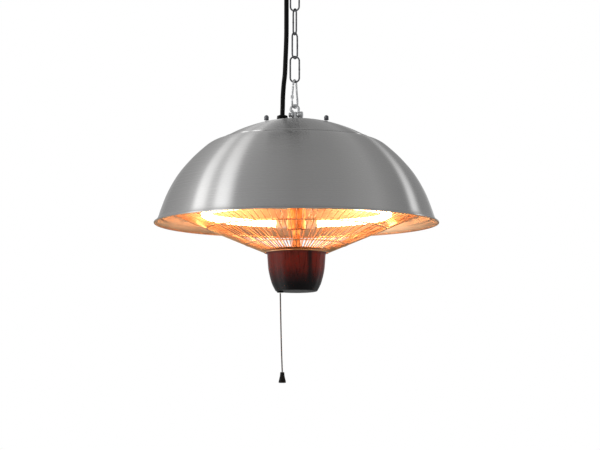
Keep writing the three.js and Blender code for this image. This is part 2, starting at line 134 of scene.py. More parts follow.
def finishPiece(name, material, smooth=35):
    piece = bpy.context.object
    piece.name = name
    piece.data.name = name
    bpy.ops.object.transform_apply(location=True, rotation=True, scale=True)
    if material:
        piece.data.materials.clear()
        piece.data.materials.append(material)
    bpy.ops.object.shade_smooth_by_angle(angle=math.radians(smooth))
    return piece


def applyModifier(kind, **settings):
    modifier = bpy.context.object.modifiers.new(kind.title(), kind)
    for key, value in settings.items():
        setattr(modifier, key, value)
    bpy.ops.object.modifier_apply(modifier=modifier.name)


def turn(outline, sides=96, at=(0, 0, 0), lean=(0, 0, 0)):
    # A turned shape: a circle is extruded and resized from point to point of the outline
    startClean()
    least = 0.001
    points = [(max(radius, least), height) for radius, height in outline]
    first = points[0]
    bpy.ops.mesh.primitive_circle_add(vertices=sides, radius=first[0] * mm, location=(0, 0, first[1] * mm))
    bpy.ops.object.transform_apply(location=True, rotation=False, scale=False)
    bpy.ops.object.mode_set(mode="EDIT")
    bpy.ops.mesh.select_all(action="SELECT")
    for (radius0, height0), (radius1, height1) in zip(points, points[1:]):
        rise = (0, 0, (height1 - height0) * mm)
        grow = radius1 / radius0
        bpy.ops.mesh.extrude_edges_move(TRANSFORM_OT_translate={"value": rise})
        bpy.ops.transform.resize(value=(grow, grow, 1), center_override=(0, 0, height1 * mm))
    weld()
    piece = bpy.context.object
    piece.rotation_euler = [math.radians(angle) for angle in lean]
    piece.location = place(*at)
    bpy.ops.object.transform_apply(location=True, rotation=True, scale=True)
    return piece


def flowing(points, steps=6):
    # Points along one smooth curve through the given ones
    line = [Vector(point) for point in points]
    ends = [line[0] * 2 - line[1]] + line + [line[-1] * 2 - line[-2]]
    made = []
    for a, b, c, d in zip(ends, ends[1:], ends[2:], ends[3:]):
        for step in range(steps):
            t = step / steps
            made.append(0.5 * (
                2 * b + (c - a) * t + (2 * a - 5 * b + 4 * c - d) * t ** 2 + (3 * b - a - 3 * c + d) * t ** 3
            ))
    made.append(line[-1])
    return made


def flowing2d(points, steps):
    return [(p.x, p.z) for p in flowing([(x, 0, z) for x, z in points], steps)]


def arc(centreX, centreZ, radius, start, end, count):
    angles = [math.radians(start + (end - start) * i / count) for i in range(count + 1)]
    return [(centreX + radius * math.cos(a), centreZ + radius * math.sin(a)) for a in angles]


def bentWire(points, radius, closed=False, sides=6, turned=0, centreX=0.0):
    # A round wire through points given as (x, z) or (x, y, z), then turned about the vertical and moved to
    # centreX
    startClean()
    bpy.ops.curve.primitive_bezier_curve_add()
    curve = bpy.context.object
    curve.location = (0, 0, 0)
    spline = curve.data.splines[0]
    spline.bezier_points.add(len(points) - 2)
    for knot, point in zip(spline.bezier_points, points):
        x, y, z = point if len(point) == 3 else (point[0], 0, point[1])
        knot.co = (x * mm, y * mm, z * mm)
        knot.handle_left_type = "AUTO"
        knot.handle_right_type = "AUTO"
    spline.use_cyclic_u = closed
    curve.data.resolution_u = 5
    curve.data.bevel_depth = radius * mm
    curve.data.bevel_resolution = sides
    curve.data.use_fill_caps = not closed
    bpy.ops.object.convert(target="MESH")
    weld()
    wire = bpy.context.object
    wire.rotation_euler = (0, 0, math.radians(turned))
    wire.location = (centreX * mm, 0, rimZ)
    bpy.ops.object.transform_apply(location=True, rotation=True, scale=True)
    return wire


def rod(radius, length, at, lean=(0, 0, 0), sides=32, soften=0.0):
    # A bar or a nut centred on its place, its edges softened
    startClean()
    bpy.ops.mesh.primitive_cylinder_add(
        vertices=sides, radius=radius * mm, depth=length * mm, location=place(*at),
        rotation=[math.radians(angle) for angle in lean],
    )
    if soften:
        applyModifier("BEVEL", width=soften * mm, segments=2, limit_method="ANGLE")
    return bpy.context.object


def joinInto(main, *others):
    startClean()
    for piece in (main, *others):
        piece.select_set(True)
    bpy.context.view_layer.objects.active = main
    bpy.ops.object.join()
    return main


def cutWith(piece, *tools):
    for tool in tools:
        startClean()
        piece.select_set(True)
        bpy.context.view_layer.objects.active = piece
        applyModifier("BOOLEAN", operation="DIFFERENCE", solver="EXACT", object=tool)
        bpy.data.objects.remove(tool)
    return piece


# Materials, each after the real finish

def spunSteel():
    # 430 stainless spun on a lathe and scotch-brited round the axis: fine rings, long streaks of light up
    # the side
    ringSpacing = 0.9 * mm  # drawn coarser than the real 0.2 mm, which would not show
    material, tree, shader, where = newMaterial(
        "spunStainlessSteel", Metallic=1.0, Anisotropic=1.0, Anisotropic_Rotation=0.25,
    )
    xyz = addNode(tree, "ShaderNodeSeparateXYZ", links={0: where})
    flat = addNode(tree, "ShaderNodeCombineXYZ", links={0: xyz.outputs[0], 1: xyz.outputs[1]})
    radius = addNode(tree, "ShaderNodeVectorMath", links={0: flat.outputs[0]}, operation="LENGTH")
    along = addNode(
        tree, "ShaderNodeMath", links={0: xyz.outputs[2], 1: radius.outputs["Value"]}, operation="SUBTRACT",
    )
    scaled = addNode(
        tree, "ShaderNodeMath", {1: 1 / ringSpacing}, {0: along.outputs[0]}, operation="MULTIPLY",
    )
    line = addNode(
        tree, "ShaderNodeCombineXYZ", links={0: scaled.outputs[0], 1: xyz.outputs[0], 2: xyz.outputs[1]},
    )
    rings = addNode(
        tree, "ShaderNodeTexNoise", {"Scale": 1.0, "Detail": 3.0, "Roughness": 0.6},
        {"Vector": line.outputs[0]},
    )
    blotch = addNode(tree, "ShaderNodeTexNoise", {"Scale": 9.0, "Detail": 2.0}, {"Vector": where})
    tone = addNode(
        tree, "ShaderNodeMath", {1: 0.5}, {0: rings.outputs[0], 2: blotch.outputs[0]},
        operation="MULTIPLY_ADD",
    )
    shade = addNode(tree, "ShaderNodeMapRange", {1: 0.4, 2: 1.1, 3: 0.0, 4: 1.0}, {0: tone.outputs[0]})
    colour = addNode(
        tree, "ShaderNodeMix", {6: linear("#b9b9b9"), 7: linear("#c4c3c2")}, {0: shade.outputs[0]},
        data_type="RGBA",
    )
    rough = addNode(tree, "ShaderNodeMapRange", {1: 0.3, 2: 0.7, 3: 0.25, 4: 0.28}, {0: rings.outputs[0]})
    bump = addNode(
        tree, "ShaderNodeBump", {"Strength": 0.02, "Distance": 0.2 * mm}, {"Height": rings.outputs[0]},
    )
    tangent = addNode(tree, "ShaderNodeTangent", direction_type="RADIAL", axis="Z")
    tree.links.new(colour.outputs[2], shader.inputs["Base Color"])
    tree.links.new(rough.outputs[0], shader.inputs["Roughness"])
    tree.links.new(bump.outputs[0], shader.inputs["Normal"])
    tree.links.new(tangent.outputs[0], shader.inputs["Tangent"])
    return material


def platedMetal(name, light, dark, spotSize, roughLow, roughHigh, relief):
    # Zinc, nickel or chrome plate over wire and turned parts: soft shine, cloudy where it has weathered
    material, tree, shader, where = newMaterial(name, Metallic=1.0)
    cloud = addNode(
        tree, "ShaderNodeTexNoise", {"Scale": 1 / (spotSize * mm), "Detail": 5.0, "Roughness": 0.65},
        {"Vector": where},
    )
    fine = addNode(tree, "ShaderNodeTexNoise", {"Scale": 1 / (0.5 * mm), "Detail": 2.0}, {"Vector": where})
    spread = addNode(tree, "ShaderNodeMapRange", {1: 0.35, 2: 0.65}, {0: cloud.outputs[0]})
    colour = addNode(
        tree, "ShaderNodeMix", {6: linear(dark), 7: linear(light)}, {0: spread.outputs[0]}, data_type="RGBA",
    )
    rough = addNode(
        tree, "ShaderNodeMapRange", {1: 0.35, 2: 0.65, 3: roughHigh, 4: roughLow}, {0: cloud.outputs[0]},
    )
    bump = addNode(
        tree, "ShaderNodeBump", {"Strength": relief, "Distance": 0.1 * mm}, {"Height": fine.outputs[0]},
    )
    tree.links.new(colour.outputs[2], shader.inputs["Base Color"])
    tree.links.new(rough.outputs[0], shader.inputs["Roughness"])
    tree.links.new(bump.outputs[0], shader.inputs["Normal"])
    return material


def blackSurface(name, colour, worn, roughLow, roughHigh, grain, relief):
    # Moulded polyamide or a rubber sheath: near black, an even grain, greyer where it is handled
    material, tree, shader, where = newMaterial(name, IOR=1.5, Specular_IOR_Level=0.15)
    pores = addNode(tree, "ShaderNodeTexNoise", {"Scale": 1 / (grain * mm), "Detail": 3.0}, {"Vector": where})
    wear = addNode(tree, "ShaderNodeTexNoise", {"Scale": 1 / (25 * mm), "Detail": 4.0}, {"Vector": where})
    spread = addNode(tree, "ShaderNodeMapRange", {1: 0.45, 2: 0.75}, {0: wear.outputs[0]})
    shade = addNode(
        tree, "ShaderNodeMix", {6: linear(colour), 7: linear(worn)}, {0: spread.outputs[0]}, data_type="RGBA",
    )
    rough = addNode(
        tree, "ShaderNodeMapRange", {1: 0.3, 2: 0.7, 3: roughLow, 4: roughHigh}, {0: wear.outputs[0]},
    )
    bump = addNode(
        tree, "ShaderNodeBump", {"Strength": relief, "Distance": 0.08 * mm}, {"Height": pores.outputs[0]},
    )
    tree.links.new(shade.outputs[2], shader.inputs["Base Color"])
    tree.links.new(rough.outputs[0], shader.inputs["Roughness"])
    tree.links.new(bump.outputs[0], shader.inputs["Normal"])
    return material


def cupEnamel():
    # Vitreous enamel on a deep-drawn steel cup, near black: the upper half is painted reddish brown as the
    # lamps' glow falling from above, broken by faint upright painted reflection streaks and one painted dark
    # reflection
    material, tree, shader, where = newMaterial(
        "blackEnamelPaintedGlow", IOR=1.52, Specular_IOR_Level=0.16, Coat_Weight=0.05, Coat_Roughness=0.1,
    )
    top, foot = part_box("switch_cup")[1][2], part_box("switch_cup")[0][2]
    xyz = addNode(tree, "ShaderNodeSeparateXYZ", links={0: where})
    # painted lamp glow: reddish brown rising towards the top of the cup
    paintedGlowRise = addNode(
        tree, "ShaderNodeMapRange", {1: foot + 6 * mm, 2: top - 6 * mm}, {0: xyz.outputs[2]},
        interpolation_type="SMOOTHSTEP",
    )
    # painted reflection: faint upright streaks across the painted glow; the same noise also varies the
    # roughness
    stretched = addNode(tree, "ShaderNodeMapping", {"Scale": (1, 1, 0.04)}, {"Vector": where})
    streakNoise = addNode(
        tree, "ShaderNodeTexNoise", {"Scale": 1 / (3 * mm), "Detail": 3.0}, {"Vector": stretched.outputs[0]},
    )
    paintedStreakTone = addNode(tree, "ShaderNodeMapRange", {1: 0.3, 2: 0.7, 3: 0.55, 4: 1.0}, {0: streakNoise.outputs[0]})
    # a painted dark reflection: an upright dark band 20 mm to the side
    fromDarkReflection = addNode(tree, "ShaderNodeMath", {1: 20 * mm}, {0: xyz.outputs[0]}, operation="SUBTRACT")
    aside = addNode(tree, "ShaderNodeMath", links={0: fromDarkReflection.outputs[0]}, operation="ABSOLUTE")
    paintedDarkReflection = addNode(
        tree, "ShaderNodeMapRange", {1: 1.5 * mm, 2: 4.5 * mm, 3: 0.15, 4: 1.0}, {0: aside.outputs[0]},
    )
    paintedStreaks = addNode(
        tree, "ShaderNodeMath", links={0: paintedDarkReflection.outputs[0], 1: paintedStreakTone.outputs[0]}, operation="MULTIPLY",
    )
    paintedGlowAmount = addNode(
        tree, "ShaderNodeMath", links={0: paintedGlowRise.outputs[0], 1: paintedStreaks.outputs[0]}, operation="MULTIPLY",
    )
    # 661b0c is the painted glow colour, #050204 the enamel's own near black
    colour = addNode(
        tree, "ShaderNodeMix", {6: linear("#050204"), 7: linear("#661b0c")}, {0: paintedGlowAmount.outputs[0]},
        data_type="RGBA",
    )
    rough = addNode(tree, "ShaderNodeMapRange", {1: 0.3, 2: 0.7, 3: 0.24, 4: 0.4}, {0: streakNoise.outputs[0]})
    tree.links.new(colour.outputs[2], shader.inputs["Base Color"])
    tree.links.new(rough.outputs[0], shader.inputs["Roughness"])
    return material


def glowing(name, colour, strength, mottle):
    # Quartz lit from inside by its heating wire
    material, tree, shader, where = newMaterial(name, Roughness=0.12, IOR=1.46)
    clouds = addNode(tree, "ShaderNodeTexNoise", {"Scale": 1 / (8 * mm)}, {"Vector": where})
    tone = addNode(
        tree, "ShaderNodeMix", {6: linear(colour), 7: linear(mottle)}, {0: clouds.outputs[0]},
        data_type="RGBA",
    )
    tree.links.new(tone.outputs[2], shader.inputs["Base Color"])
    shader.inputs["Emission Color"].default_value = linear(colour)
    shader.inputs["Emission Strength"].default_value = strength
    return material


def glowTintedReflector():
    # Aluminium bowl, bright rolled and then spun; its warm tint is painted lamp glow
    material, tree, shader, where = newMaterial("aluminiumReflectorPaintedGlow", Metallic=1.0)
    dents = addNode(tree, "ShaderNodeTexNoise", {"Scale": 1 / (22 * mm), "Detail": 2.0}, {"Vector": where})
    spun = addNode(tree, "ShaderNodeMapping", {"Scale": (0.05, 0.05, 1)}, {"Vector": where})
    lines = addNode(
        tree, "ShaderNodeTexNoise", {"Scale": 1 / (1.2 * mm), "Detail": 2.0}, {"Vector": spun.outputs[0]},
    )
    colour = addNode(
        # the warm colours are painted lamp glow on bright aluminium
        tree, "ShaderNodeMix", {6: linear("#e8bd94"), 7: linear("#f6d3ab")}, {0: dents.outputs[0]},
        data_type="RGBA",
    )
    rough = addNode(tree, "ShaderNodeMapRange", {1: 0.3, 2: 0.7, 3: 0.42, 4: 0.55}, {0: lines.outputs[0]})
    bump = addNode(
        tree, "ShaderNodeBump", {"Strength": 0.15, "Distance": 0.3 * mm}, {"Height": lines.outputs[0]},
    )
    tree.links.new(colour.outputs[2], shader.inputs["Base Color"])
    tree.links.new(rough.outputs[0], shader.inputs["Roughness"])
    tree.links.new(bump.outputs[0], shader.inputs["Normal"])
    return material


def steatite():
    # Fired steatite ceramic: chalky white with faint scorching
    material, tree, shader, where = newMaterial("steatiteCeramic", IOR=1.55)
    scorch = addNode(tree, "ShaderNodeTexNoise", {"Scale": 1 / (12 * mm), "Detail": 4.0}, {"Vector": where})
    grit = addNode(tree, "ShaderNodeTexNoise", {"Scale": 1 / (0.4 * mm)}, {"Vector": where})
    colour = addNode(
        tree, "ShaderNodeMix", {6: linear("#efe8da"), 7: linear("#cdb99a")}, {0: scorch.outputs[0]},
        data_type="RGBA",
    )
    rough = addNode(tree, "ShaderNodeMapRange", {3: 0.5, 4: 0.75}, {0: scorch.outputs[0]})
    bump = addNode(
        tree, "ShaderNodeBump", {"Strength": 0.2, "Distance": 0.1 * mm}, {"Height": grit.outputs[0]},
    )
    tree.links.new(colour.outputs[2], shader.inputs["Base Color"])
    tree.links.new(rough.outputs[0], shader.inputs["Roughness"])
    tree.links.new(bump.outputs[0], shader.inputs["Normal"])
    return material


def braidedLine():
    # Braided polyester pull line: dark grey crossing strands
    material, tree, shader, where = newMaterial("braidedPolyester", Roughness=0.8, Sheen_Weight=0.3)
    left = addNode(tree, "ShaderNodeMapping", {"Rotation": (0, math.radians(40), 0)}, {"Vector": where})
    right = addNode(tree, "ShaderNodeMapping", {"Rotation": (0, math.radians(-40), 0)}, {"Vector": where})
    strandA = addNode(
        tree, "ShaderNodeTexWave", {"Scale": 1 / (5 * mm)}, {"Vector": left.outputs[0]}, bands_direction="Z",
    )
    strandB = addNode(
        tree, "ShaderNodeTexWave", {"Scale": 1 / (5 * mm)}, {"Vector": right.outputs[0]}, bands_direction="Z",
    )
    braid = addNode(
        tree, "ShaderNodeMath", links={0: strandA.outputs[1], 1: strandB.outputs[1]}, operation="MAXIMUM",
    )
    colour = addNode(
        tree, "ShaderNodeMix", {6: linear("#22211f"), 7: linear("#4a4845")}, {0: braid.outputs[0]},
        data_type="RGBA",
    )
    bump = addNode(
        tree, "ShaderNodeBump", {"Strength": 0.6, "Distance": 0.15 * mm}, {"Height": braid.outputs[0]},
    )
    tree.links.new(colour.outputs[2], shader.inputs["Base Color"])
    tree.links.new(bump.outputs[0], shader.inputs["Normal"])
    return material


steel = spunSteel()
reflectorWithPaintedGlow = glowTintedReflector()
brightZinc = platedMetal("brightZincPlate", "#e2e3e4", "#bcbec0", 5, 0.2, 0.34, 0.1)
darkZinc = platedMetal("weatheredZincPlate", "#85868a", "#505155", 4, 0.3, 0.5, 0.3)
# the guard wire's warm tint is painted lamp glow on bright nickel; the cup lid takes it too
guardWirePaintedGlow = platedMetal("nickelWirePaintedGlow", "#f3cfa4", "#d39a66", 30, 0.3, 0.45, 0.1)
strawSteel = platedMetal("heatStrawedSteelTube", "#b98458", "#8a5734", 12, 0.4, 0.55, 0.1)
pinNickel = platedMetal("nickelPlatedBrass", "#d6d3cb", "#b7b3a8", 5, 0.15, 0.25, 0.05)
rubber = blackSurface("blackRubberSheath", "#060606", "#121211", 0.45, 0.62, 0.7, 0.25)
plastic = blackSurface("mouldedBlackPolyamide", "#0b0b0c", "#1a191a", 0.32, 0.5, 0.5, 0.2)
enamel = cupEnamel()
lampGlow = glowing("litQuartzTube", "#ffc48f", 26.0, "#ffe4b8")
wireGlow = glowing("whiteHotTungsten", "#ffd9a8", 40.0, "#fff0d0")
ceramic = steatite()
braid = braidedLine()
print("materials made")


# Mains lead: 1.8 m of 7 mm rubber cable, up beside the chain and then wound into a coil

lead = {
    "diameter": 7.0, "length": 1.8,
    "route": [
        (-21, 0, 162.4), (-20.6, 0, 174), (-20.2, 0, 190), (-19, 0, 208), (-17.3, 0, 224), (-16.5, 0, 243),
        (-15.7, 0, 262), (-15.1, 1, 282), (-15, 2.6, 302), (-15, 5, 322), (-15, 7.8, 342), (-15, 10, 360),
        (-15, 10.9, 378),
    ],
    "coilX": -55.5, "coilZ": 396.0, "outer": 40.5, "inner": 33.2, "half": 10.95, "pitch": 7.3, "backY": 18.6,
    "plugEnd": -20.9,
}


def windingPoint(degrees):
    # Three turns towards the front on the outer layer, three back on the inner one, then off the back
    layers = 3 * 360
    change = 60  # degrees either side of the step between the layers
    if degrees <= layers:
        depth = lead["half"] - lead["pitch"] * degrees / 360
    elif degrees <= 2 * layers:
        depth = -lead["half"] + lead["pitch"] * (degrees - layers) / 360
    else:
        rise = (degrees - 2 * layers) / 270
        depth = lead["half"] + (lead["backY"] - lead["half"]) * rise * rise * (3 - 2 * rise)
    share = min(max((degrees - layers + change) / (2 * change), 0), 1)
    share = share * share * (3 - 2 * share)
    radius = lead["outer"] + (lead["inner"] - lead["outer"]) * share
    angle = math.radians(degrees)
    return (lead["coilX"] + radius * math.cos(angle), depth, lead["coilZ"] + radius * math.sin(angle))


def leadPath():
    winding = [windingPoint(degrees) for degrees in range(0, 2 * 1080 + 271, 15)]
    tail = [(x, lead["backY"], lead["coilZ"] - lead["inner"]) for x in (-46, -36, -28, lead["plugEnd"])]
    steady = flowing(lead["route"], 3)
    return [place(*point) for point in [*steady, *winding, *tail]]


def makeLead(path, radius):
    startClean()
    bpy.ops.curve.primitive_bezier_curve_add()
    tube = bpy.context.object
    spline = tube.data.splines[0]
    spline.bezier_points.add(len(path) - 2)
    for knot, point in zip(spline.bezier_points, path):
        knot.co = point
        knot.handle_left_type = "AUTO"
        knot.handle_right_type = "AUTO"
    tube.data.resolution_u = 2
    tube.data.bevel_depth = radius
    tube.data.bevel_resolution = 4
    tube.data.use_fill_caps = True
    bpy.ops.object.convert(target="MESH")
    weld()
    return tube


leadPoints = leadPath()
makeLead(leadPoints, lead["diameter"] / 2 * mm)
mainsLead = finishPiece("mainsLead", rubber)
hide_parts("mains_cord", "mains_cord_coil")

pullLine = {"diameter": 2.0, "drift": 3.0, "length": 117.0, "x": -24.0, "top": -104.8}


def makePullLine():
    top, length = pullLine["top"], pullLine["length"]
    knots = [(0, 0), (0.7, 0.3), (1.6, 0.65), (pullLine["drift"], 1)]
    line = [(pullLine["x"] + shift, 0, top - share * length) for shift, share in knots]
    path = [place(*point) for point in flowing(line, 8)]
    makeLead(path, pullLine["diameter"] / 2 * mm)
    return finishPiece("pullLine", braid), path


pullPiece, pullPath = makePullLine()
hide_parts("pull_cord")
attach(pullPiece, "pull_tail")
print("lead and pull line made")


# Plug: a flat round moulding with a grip edge, its relief and its two pins

plug = {"x": 24.0, "y": 18.6, "z": 362.8, "radius": 17.5, "half": 10.0, "pinSpacing": 19.0, "pinRadius": 2.4}


def makePlug():
    radius, half = plug["radius"], plug["half"]
    corner = 2.5
    face = [(0, half), (radius - 4, half), (radius - 4.6, half - 1.2)]
    body = [*face, (radius - 2.2, half - 1.0)]
    body += [(radius - corner + x, half - 1 - corner + z) for x, z in arc(0, 0, corner, 80, 0, 5)]
    body += [(radius - 0.8, 1.5), (radius - 0.8, -1.5)]
    body += [(radius - corner + x, corner - half + z) for x, z in arc(0, 0, corner, 0, -90, 5)]
    body += [(radius - 6, -half), (radius - 7, -half + 1), (0, -half + 1)]
    disc = turn(body, 64, (plug["x"], plug["y"], plug["z"]), (-90, 0, 0))
    sleeve = [(0, 0), (4.4, 0), (4.6, 0.6)]
    for groove in range(5):  # moulded ribs that let the relief flex
        start = 3 + groove * 4.2
        width = 4.7 + groove * 0.3
        sleeve += [
            (width, start), (width - 0.7, start + 0.5), (width - 0.7, start + 1.7),
            (width + 0.1, start + 2.2),
        ]
    sleeve += [(6.5, 27), (6.6, 34), (0, 34)]
    relief = turn(sleeve, 32, (-20.4, plug["y"], plug["z"]), (0, 90, 0))
    joinInto(disc, relief)
    return finishPiece("plugBody", rubber)


def makePin(side):
    radius = plug["pinRadius"]
    outline = [(0, 0), (radius, 0), (radius, 17.6), (radius - 0.5, 18.6), (radius - 1.3, 19), (0, 19)]
    at = (plug["x"] + side * plug["pinSpacing"] / 2, plug["y"] + plug["half"] + 0.3, plug["z"])
    turn(outline, 32, at, (-90, 0, 0))
    return finishPiece("plugPin" + ("Right" if side > 0 else "Left"), pinNickel)


plugPiece = makePlug()
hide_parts("plug_body")
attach(plugPiece, "chain")
for side, nodeName in ((-1, "plug_pin_1"), (1, "plug_pin_2")):
    pin = makePin(side)
    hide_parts(nodeName)
    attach(pin, "chain")


# Hook-and-loop straps round the coil

strap = {"thick": 1.2, "corner": 5.0}


def makeStrap(name, low, high, height, at, lean):
    startClean()
    size = [(high[i] - low[i] + strap["thick"]) * mm for i in (0, 1)] + [height * mm]
    middle = [(low[i] + high[i]) / 2 * mm for i in (0, 1)] + [0]
    bpy.ops.mesh.primitive_cube_add(size=1, location=middle, scale=size)
    bpy.ops.object.transform_apply(location=True, rotation=True, scale=True)
    bpy.ops.object.mode_set(mode="EDIT")
    bpy.ops.mesh.select_mode(type="FACE")
    bpy.ops.mesh.select_all(action="DESELECT")
    bpy.ops.object.mode_set(mode="OBJECT")
    band = bpy.context.object
    for face in band.data.polygons:
        face.select = abs(face.normal.z) > 0.9
    bpy.ops.object.mode_set(mode="EDIT")
    bpy.ops.mesh.delete(type="ONLY_FACE")
    bpy.ops.mesh.select_mode(type="EDGE")
    bpy.ops.mesh.select_all(action="DESELECT")
    bpy.ops.object.mode_set(mode="OBJECT")
    for edge in band.data.edges:
        a, b = (band.data.vertices[i].co for i in edge.vertices)
        edge.select = abs(a.z - b.z) > 0.5 * height * mm
    bpy.ops.object.mode_set(mode="EDIT")
    bpy.ops.mesh.bevel(offset=strap["corner"] * mm, segments=6)
    bpy.ops.object.mode_set(mode="OBJECT")
    applyModifier("SOLIDIFY", thickness=strap["thick"] * mm, offset=0.0)
    applyModifier("BEVEL", width=0.3 * mm, segments=2, limit_method="ANGLE")
    band.rotation_euler = [math.radians(angle) for angle in lean]
    band.location = place(*at)
    return finishPiece(name, plastic)


chainStrap = makeStrap("chainStrap", (-35.5, -15.6), (7, 23.3), 9, (0, 0, 380.5), (0, 0, 0))
coilStrap = makeStrap("coilStrap", (-45.2, -15.4), (-28.3, 23.1), 10, (-55.5, 0, 396), (0, -40, 0))
for piece, nodeName in ((chainStrap, "cord_tie_chain"), (coilStrap, "cord_tie_coil")):
    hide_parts(nodeName)
    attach(piece, "chain")

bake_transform(mainsLead)
print("plug and straps made")


# Pull bell on its line

bell = {"top": -222.1, "height": 16.0, "foot": 5.5, "head": 3.1}


def makeBell():
    height, foot, head = bell["height"], bell["foot"], bell["head"]
    outline = [(0, 0), (1.9, 0)]
    outline += [(1.9 + x, -1.2 + z) for x, z in arc(0, 0, 1.2, 90, 10, 4)]
    outline += flowing2d([(head, -1.6), (head + 0.5, -6), (foot - 0.6, -12), (foot, 1.6 - height)], 4)
    outline += [(foot - 1.0 + x, 1.0 - height + z) for x, z in arc(0, 0, 1.0, 0, -90, 4)]
    outline += [(2.8, -height), (2.4, 1.4 - height), (0, 1.4 - height)]
    turn(outline, 48, (pullLine["x"] + pullLine["drift"], 0, bell["top"]))
    return finishPiece("pullBell", plastic)


bellPiece = makeBell()
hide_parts("pull_bell")
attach(bellPiece, "pull_tail")
print("bell made")


# Dome and cap, spun from sheet

stud = {"ring": 51.4, "angles": (210, 330, 90), "radius": 2.0, "length": 26, "middleZ": 137}
dome = {
    "sheet": 1.2, "topZ": 124.0, "sides": 160,
    "side": [
        (99, 123.8), (108.6, 124.0), (111.6, 125.0), (117.5, 123.8), (124.8, 120.8), (133.5, 115.4),
        (146.6, 104.2), (158.5, 92.5), (173.4, 75.2), (185, 57.5), (194.1, 39.7), (201, 22), (206, 7.5),
        (209, 3), (210.6, 1.9),
    ],
}


def makeDome():
    bead = [(211.1 + x, 0.1 + z) for x, z in arc(0, 0, 1.4, 75, -130, 8)]
    outline = [(5, dome["topZ"]), (60, dome["topZ"]), (94, dome["topZ"]), (96.5, 124.6)]
    outline += flowing2d(dome["side"], 4) + bead
    turn(outline, dome["sides"])
    shell = bpy.context.object
    shell.data.materials.append(steel)
    shell.data.materials.append(reflectorWithPaintedGlow)
    # the sheet's inner face takes the reflector's finish, with its painted lamp glow
    applyModifier("SOLIDIFY", thickness=dome["sheet"] * mm, offset=-1.0, material_offset=1)
    studs = []
    for angle in stud["angles"]:
        x = stud["ring"] * math.cos(math.radians(angle))
        y = stud["ring"] * math.sin(math.radians(angle))
        studs.append(rod(stud["radius"], stud["length"], (x, y, stud["middleZ"]), sides=16, soften=0.3))
    joinInto(shell, *studs)
    for face in shell.data.polygons:  # painted lamp glow: the steel lip's underside takes the reflector's warm finish
        if face.center.z < up(1.2) and face.normal.z < -0.5:
            face.material_index = 1
    return finishPiece("domeShell", None, 40)


cap = {
    "radius": 109.0, "sphere": 210.0, "centreZ": -53.9, "flare": 0.7, "edge": 1.8, "sheet": 1.2,
    "glandX": -21.0, "glandHole": 6.2,
}


def capHeight(radius):
    return cap["centreZ"] + math.sqrt(cap["sphere"] ** 2 - radius ** 2)


def makeCap():
    radii = [6.4 + (cap["radius"] - 7.4) * i / 16 for i in range(17)]
    outline = [(radius, capHeight(radius) + cap["flare"] * max(0, radius - 70) / 35) for radius in radii]
    rim = outline[-1][1] + 0.6
    outline += [
        (cap["radius"] - 0.3, rim - 0.1), (cap["radius"], rim - 0.5), (cap["radius"], rim - cap["edge"]),
    ]
    turn(outline, 160)
    applyModifier("SOLIDIFY", thickness=cap["sheet"] * mm, offset=-1.0)
    plate = bpy.context.object
    cutWith(plate, rod(cap["glandHole"], 20, (cap["glandX"], 0, 155), sides=32))
    return finishPiece("topCap", steel, 40)


domePiece = makeDome()
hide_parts("dome_shell")
capPiece = makeCap()
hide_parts("top_cap")
for piece in (domePiece, capPiece):
    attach(piece, "heater")
print("dome and cap made")


# Reflector bowl inside the dome

def makeReflector():
    outline = [(14.6, 104), (60, 104)]
    outline += flowing2d([(98, 104), (130, 100), (158, 82.5), (176.5, 61), (189.4, 39), (201, 8)], 6)
    turn(outline, 128)
    applyModifier("SOLIDIFY", thickness=1.0 * mm, offset=-1.0)
    return finishPiece("reflectorBowl", reflectorWithPaintedGlow, 40)


reflectorPiece = makeReflector()
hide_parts("reflector")
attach(reflectorPiece, "heater")


# Wire guard: one spoke is made, spun round the axis, and welded to four rings

guard = {
    "spokes": 96, "wire": 0.7, "innerR": 46.0, "outerR": 191.0, "innerZ": -44.7, "slope": 0.4186,
    "rings": (47.5, 76, 133, 190), "ringWire": 1.0,
}


def guardHeight(radius):
    return guard["innerZ"] + guard["slope"] * (radius - guard["innerR"])


def makeGuard():
    low, high = guard["innerR"] + 1.2, guard["outerR"]
    spoke = bentWire([(r, guardHeight(r)) for r in (low, low + 30, high)], guard["wire"], sides=1)
    bpy.ops.object.mode_set(mode="EDIT")
    bpy.ops.mesh.select_all(action="SELECT")
    turnBy = 2 * math.pi * (guard["spokes"] - 1) / guard["spokes"]
    bpy.ops.mesh.spin(steps=guard["spokes"] - 1, dupli=True, angle=turnBy, center=(0, 0, 0), axis=(0, 0, 1))
    bpy.ops.object.mode_set(mode="OBJECT")
    rings = []
    for radius in guard["rings"]:
        startClean()
        bpy.ops.mesh.primitive_torus_add(
            major_radius=radius * mm, minor_radius=guard["ringWire"] * mm, major_segments=128,
            minor_segments=10,
            location=(0, 0, up(guardHeight(radius))),
        )
        rings.append(bpy.context.object)
    joinInto(spoke, *rings)
    return finishPiece("guardWires", guardWirePaintedGlow, 60)


guardPiece = makeGuard()
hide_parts("guard")
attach(guardPiece, "heater")
print("guard made")


# Lit lamps: two half rings of quartz tube, each with a wound heating wire

lamp = {"ring": 137.0, "z": 13.0, "sweep": 76.0, "tube": 5.0, "wire": 1.5}


def makeLamp(name, middle, radius, sweep, material):
    count = 24
    points = []
    for i in range(count + 1):
        angle = math.radians(middle - sweep + 2 * sweep * i / count)
        points.append((lamp["ring"] * math.cos(angle), lamp["ring"] * math.sin(angle), lamp["z"]))
    bentWire(points, radius, sides=4)
    return finishPiece(name, material)


for side, middle in (("right", 0), ("left", 180)):
    tube = makeLamp("lampTube" + side.title(), middle, lamp["tube"], lamp["sweep"], lampGlow)
    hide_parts("lamp_tube_" + side)
    wire = makeLamp("lampWire" + side.title(), middle, lamp["wire"], lamp["sweep"] - 0.3, wireGlow)
    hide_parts("lamp_filament_" + side)
    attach(tube, "heater")
    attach(wire, "heater")
print("lamps made")


# Switch cup

